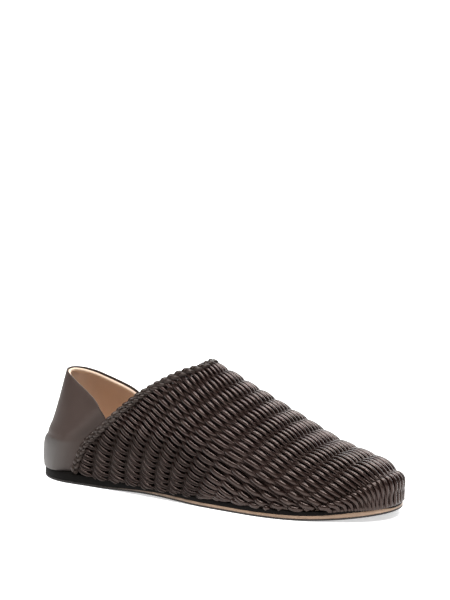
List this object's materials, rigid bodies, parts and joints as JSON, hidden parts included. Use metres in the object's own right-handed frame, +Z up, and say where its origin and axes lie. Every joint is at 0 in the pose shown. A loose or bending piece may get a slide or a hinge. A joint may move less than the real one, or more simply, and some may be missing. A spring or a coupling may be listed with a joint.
{
  "type": "woven babouche slipper",
  "caption": "Slip-on slipper with a hollow vamp woven from rolled leather strands, a plaited topline, a smooth fold-down heel counter and a thin layered flat sole.",
  "frame": {"origin": "centre of the overall box on the floor under the sole", "axes": "+X from heel to toe, +Y to the inner side of the foot, +Z up"},
  "size_m": [0.2536, 0.0862, 0.0835],
  "materials": {
    "strand_leather": "rolled strands, soft sheen",
    "braid_leather": "plaited thin strand, matt",
    "counter_leather": "smooth calf, low sheen",
    "sock_leather": "natural tan lining",
    "midsole_leather": "dark edge dressing",
    "outsole_edge_leather": "natural cut edge",
    "tread_rubber": "matt, fine texture"
  },
  "bodies": {
    "root": {"woven_vamp": "strand_leather", "topline_braid": "braid_leather", "heel_counter": "counter_leather", "insole_sock": "sock_leather", "midsole": "midsole_leather", "outsole_leather": "outsole_edge_leather", "rubber_sole": "tread_rubber"}
  },
  "joints": []
}
